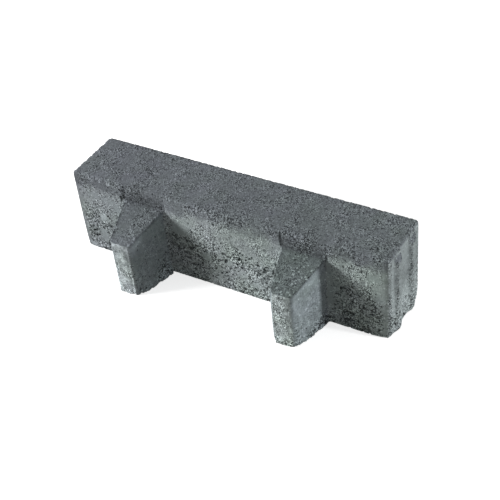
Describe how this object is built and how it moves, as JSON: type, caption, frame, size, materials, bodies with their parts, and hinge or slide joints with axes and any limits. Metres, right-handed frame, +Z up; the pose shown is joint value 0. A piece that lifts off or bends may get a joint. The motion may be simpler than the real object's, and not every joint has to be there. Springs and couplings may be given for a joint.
{
  "type": "concrete paving stone",
  "caption": "Grass-joint paving stone of pressed concrete: a straight bar with tapered, sloping-topped lugs on its front that hold the next row off, and low spacer ribs on its ends.",
  "frame": {"origin": "middle of the whole plan, lugs and ribs included, on the bed face", "axes": "+X along the bar, -Y out of the front face on the side of the lugs, +Z up to the top face that is walked on"},
  "size_m": [0.3, 0.097, 0.08],
  "materials": {
    "concrete": "matte anthracite concrete, fine-grained on top and granular with pits on the sides"
  },
  "bodies": {
    "root": {"paving_stone": "concrete"}
  },
  "joints": []
}
